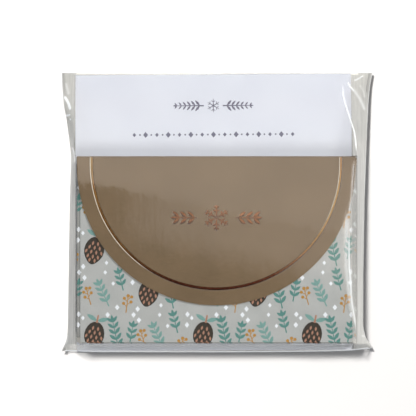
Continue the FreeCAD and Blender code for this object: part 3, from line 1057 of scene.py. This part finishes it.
def front_film():
    """The front layer: taut over the stack, steep at its sides and foot, sloping over the card's head. A
    painted shade, a grey mist, lies where it bends under the stack."""
    made, share, rise = film_grid("bag_front", across, up)
    x, y, left, right = bag_place(share, rise)
    seam = along(SEAM_RISE, y)
    head = np.clip((y - STACK_HEAD) / (TOP_Y - STACK_HEAD), 0.0, 1.0)
    crown = HEAD_FILM + (STACK_TOP - HEAD_FILM) * (1.0 - head) ** HEAD_SAG
    low = along(BOTTOM_EDGE, share)
    foot = np.clip((y - low) / (STACK_FOOT - low), 0.0, 1.0)
    crown = np.where(y < STACK_FOOT, FOOT_FILM + (STACK_TOP - FOOT_FILM) * foot ** FOOT_SAG, crown)
    released = eased(head / HEAD_RELEASE)
    inner_left = STACK_LEFT - RELEASE_LEFT * released
    inner_right = STACK_RIGHT - RELEASE_RIGHT * released
    climb = np.where(x < 0, (x - left) / (inner_left - left), (right - x) / (right - inner_right))
    climb = np.clip(climb, 0.0, 1.0)
    z = seam + (crown - seam) * (1.0 - (1.0 - climb) ** SIDE_SAG)
    haze, crease_and_highlight, lift = film_marks(x, y, low)
    # Painted shade: under the stack's foot the film's milk is turned grey and hazy.
    under = (y < STACK_FOOT + FOOT_SHADE_OVER) * (np.abs(x) < FOOT_SHADE_HALF)
    mist = np.clip((y - FOOT_SHADE_LOW) / FOOT_SHADE_RUN, 0.0, 1.0) ** FOOT_SHADE_GAIN
    haze = np.maximum(haze, FOOT_SHADE_HAZE * under * mist)
    z = z + lift * np.minimum(1.0, CREASE_FADE * (1.0 - np.abs(share)))
    return set_film(made, x, y, z, haze, crease_and_highlight, 1, FOOT_SHADE_GREY * under)


def back_film():
    """The back layer: flat on the table, a step up over the folded lip, and up to the seams at its sides."""
    made, share, rise = film_grid("bag_back", across, up)
    x, y, left, right = bag_place(share, rise)
    seam = along(SEAM_RISE, y)
    floor = BACK_LEVEL + BACK_STEP * eased((y - BACK_STEP_Y) / BACK_STEP_RUN)
    room = np.where(x < 0, np.clip(CARD_LEFT - 0.1 - left, CURL_LEAST, CURL_ROOM), CURL_ROOM)
    away = np.where(x < 0, x - left, right - x)
    z = floor + np.maximum(seam - floor - SEAM_GAP, 0.0) * (1.0 - np.clip(away / room, 0.0, 1.0)) ** 2
    past = (past_sides(x), eased(BACK_MILK_FOOT - y), eased((y - BACK_MILK_TOP) / MARGIN_FADE))
    return set_film(made, x, y, z, MARGIN_HAZE * np.maximum.reduce(past), np.zeros(len(x)), -1)


back_layer = back_film()
front_layer = front_film()
for film, replaced, surface in (
    (back_layer, "bag_back_film", clear_film),
    (front_layer, "bag_front_film", front_clear_film),
):
    coat(film, surface)
    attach(film, "bag")
    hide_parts(replaced)
    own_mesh(film)


# Side welds: the narrow strips where the two films are fused and cut hot. They follow the bag's edges and
# have a raised, whiter bead at the cut.
WELD_WIDTH = 1.2
WELD_LIFT = 0.05
WELD_HAZE = 0.5
WELD_LANES = np.array((0.0, 0.35, 0.7, 0.88, 1.0))
CUT_LANE = 0.8
CUT_RISE = 0.03
CUT_WHITE = 0.3


def side_weld(name, side):
    """One weld, following the bag's edge from its bottom corner to the mouth."""
    made, lane, rise = film_grid(name, WELD_LANES, up)
    x, y, *_ = bag_place(np.full(len(lane), float(side)), rise)
    x = x - side * WELD_WIDTH * (1.0 - lane)
    at_cut = lane > CUT_LANE
    z = along(SEAM_RISE, y) + WELD_LIFT + np.where(at_cut, CUT_RISE, 0.0)
    return set_film(made, x, y, z, np.full(len(x), WELD_HAZE), CUT_WHITE * at_cut, side)


for side, word in ((-1, "left"), (1, "right")):
    weld = side_weld(f"{word}_weld", side)
    coat(weld, clear_film)
    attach(weld, "bag")
    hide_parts(f"bag_{word}_weld")
    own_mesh(weld)


# Lip of the bag: the longer back film, folded down behind the mouth and held by a strip of clear adhesive.
# The crease is rounded and the strip slightly cloudy.
TACK = (0.78, 0.78, 0.72, 1.0)
LIP_FOOT = 23.2
LIP_FOLD = 53.05
LIP_LEVEL = 0.055
LIP_ROUND = 0.17
LIP_ROUND_Y = 52.6
LIP_ROUND_RUN = 0.4
LIP_HAZE = 0.3


def lip_film():
    """The lip: a flat sheet under the back film, with a rounded fold along the bag's top edge."""
    made, share, rise = film_grid("bag_lip_film", across, up)
    y = LIP_FOOT + (LIP_FOLD - LIP_FOOT) * rise
    x = np.where(share < 0, along(LEFT_EDGE, y) * -share, along(RIGHT_EDGE, y) * share)
    z = LIP_LEVEL + LIP_ROUND * eased((y - LIP_ROUND_Y) / LIP_ROUND_RUN)
    return set_film(made, x, y, z, LIP_HAZE * past_sides(x), np.zeros(len(x)), -1)


def tack_finish():
    """Clear pressure-sensitive adhesive: slightly cloudy, with small bubbles."""
    made, where, shader = finish("clear_adhesive")
    bubble = where.grain(900.0, 4.0)
    feed(shader, {
        "Base Color": TACK,
        "Roughness": 0.2 + 0.3 * bubble,
        "Alpha": 0.22 + 0.3 * bubble.step(0.5, 0.7),
        "Normal": bubble.relief(0.00003, 0.5),
    })
    return made


lip = lip_film()
coat(lip, clear_film)
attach(lip, "lip")
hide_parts("bag_lip")
coat(nodes["lip_adhesive"], tack_finish())


# Table, lights and camera: the set lies on its back on a white table, seen from straight above. A low key
# from the upper right and a fill from below light the set, and a lamp at the upper left lights the table and
# throws the set's shadow on it. Faint lamps overhead are mirrored in the film and the foil.
FLOOR_PALE = (0.588, 0.57, 0.55, 1.0)
FLOOR_SIZE = 6.0
FLOOR_LEVEL = -0.00005
FLOOR_LIFT = 0.7
LIFT_RANGE = (0.1, 0.4)
CARD_PLACE = (0.049**2, 0.051**2)
CAMERA_PLACE = (-0.00342, 0.00167, 0.93)
CAMERA_LENS = 211.5
WORLD_GREY = (0.83, 0.925, 1.025, 1.0)
WORLD_LEVEL = 0.56
CEILING_WARM = (1.0, 0.52, 0.34, 1.0)
CEILING_LEVEL = 0.07
CEILING_RANGE = (0.8, 0.91)
KEY_TINT = (1.0, 0.98, 0.945)
FILL_TINT = (1.0, 0.97, 0.92)
SHEEN_TINT = (1.0, 0.89, 0.8)
FOIL_TINT = (1.0, 0.73, 0.61)
SHEEN_HEIGHT = 1.4
SHEEN_ROLL = -12.1


def floor_finish():
    """Plain pale board, lit white by a lamp of its own near the set. Where it is seen farther off, or in the
    card's place through the empty bag, it is lifted to white."""
    made, where, shader = finish("white_table")
    seen = where.node("ShaderNodeLightPath", {}, {}, out="Is Camera Ray")
    for ray in ("Is Glossy Ray", "Is Transmission Ray"):
        seen = seen.sum("MAXIMUM", seen, where.node("ShaderNodeLightPath", {}, {}, out=ray))
    away = where.node("ShaderNodeVectorMath", {"operation": "LENGTH"}, {0: where}, out="Value")
    far = away.step(*LIFT_RANGE)
    x_squared, y_squared = where.axis("X") ** 2.0, where.axis("Y") ** 2.0
    outside = x_squared.sum("MAXIMUM", x_squared, y_squared).step(*CARD_PLACE)
    feed(shader, {
        "Base Color": FLOOR_PALE,
        "Roughness": 1.0,
        "Specular IOR Level": 0.0,
        "Emission Color": seen * far.sum("MAXIMUM", far, 1.0 - outside),
        "Emission Strength": FLOOR_LIFT,
    })
    return made


bpy.ops.mesh.primitive_plane_add(size=FLOOR_SIZE, location=(0, 0, FLOOR_LEVEL))
table = bpy.context.object
table.name = "table"
coat(table, floor_finish())

world = bpy.data.worlds.new("room")
world.use_nodes = True
room = world.node_tree
upward = Flow(room, room.nodes.new("ShaderNodeTexCoord").outputs["Generated"]).axis("Z")
overhead = upward.step(*CEILING_RANGE)
feed(room.nodes["Background"], {
    "Color": overhead.blend(WORLD_GREY, CEILING_WARM),
    "Strength": WORLD_LEVEL - (WORLD_LEVEL - CEILING_LEVEL) * overhead,
})
bpy.context.scene.world = world


def softbox(name, place, size, watts, aim=(0, 0, 0), roll=0.0, tint=(1, 1, 1), fade=None):
    """A rectangular lamp that faces a point. It may fade out over a share of its width and depth."""
    lamp = bpy.data.lights.new(name, "AREA")
    lamp.shape = "RECTANGLE"
    lamp.size, lamp.size_y = size
    lamp.energy = watts
    lamp.color = tint
    if fade:
        lamp.use_nodes = True
        gauze = lamp.node_tree
        place_on_lamp = Flow(gauze, gauze.nodes.new("ShaderNodeNewGeometry").outputs["Parametric"])
        shade = place_on_lamp.axis("X").step(0.0, fade[0]) * place_on_lamp.axis("Y").step(0.0, fade[1])
        gauze.links.new(shade.socket, gauze.nodes["Emission"].inputs["Strength"])
    holder = bpy.data.objects.new(name, lamp)
    holder.location = place
    holder.rotation_mode = "QUATERNION"
    facing = (Vector(aim) - Vector(place)).to_track_quat("-Z", "Y")
    holder.rotation_quaternion = facing @ Quaternion((0, 0, 1), math.radians(roll))
    bpy.context.scene.collection.objects.link(holder)
    return holder


def sheen(name, over, size, watts, tint, fade=None):
    """A faint lamp that hangs straight over a point, turned so that its mirror image is a diagonal band."""
    return softbox(name, (*over, SHEEN_HEIGHT), size, watts, (*over, 0.0), SHEEN_ROLL, tint, fade)


def shine_on(holder, pieces, state):
    """Makes a lamp light these pieces alone, or everything but them."""
    group = bpy.data.collections.new(f"{holder.name}_pieces")
    for piece in pieces:
        group.objects.link(piece)
    for member in group.collection_objects:
        member.light_linking.link_state = state
    holder.light_linking.receiver_collection = group


key = softbox("key", (1.25, 1.33, 1.28), size=(0.34, 0.34), watts=42.0, tint=KEY_TINT)
shine_on(key, [table], "EXCLUDE")
table_lamp = softbox("table_lamp", (-0.45, 0.63, 1.0), size=(0.2, 0.2), watts=31.0)
shine_on(table_lamp, [table], "INCLUDE")
fill = softbox("fill", (0.06, -0.44, 0.86), size=(0.45, 0.45), watts=3.2, tint=FILL_TINT)
shine_on(fill, [table], "EXCLUDE")
for lamp in (key, fill):
    lamp.visible_glossy = False
left_strip = softbox("left_strip", (-0.52, -0.02, 0.95), size=(1.0, 0.3), watts=1.2)
left_strip.visible_diffuse = False
sheen("sheen", (0.0157, 0.0744), size=(0.511, 0.15), watts=0.337, tint=SHEEN_TINT)
low_sheen = sheen(
    "low_sheen", (0.0692, -0.0436), size=(0.3574, 0.058), watts=0.0634, tint=SHEEN_TINT, fade=(0.2, 0.6)
)
shine_on(low_sheen, [front_layer], "INCLUDE")
foil_sheen = sheen(
    "foil_sheen", (0.0885, -0.0479), size=(0.317, 0.062), watts=0.085, tint=FOIL_TINT, fade=(0.39, 0.6)
)
shine_on(foil_sheen, foils, "INCLUDE")

camera = bpy.data.objects.new("camera", bpy.data.cameras.new("camera"))
camera.data.lens = CAMERA_LENS
camera.location = CAMERA_PLACE
bpy.context.scene.collection.objects.link(camera)
bpy.context.scene.camera = camera
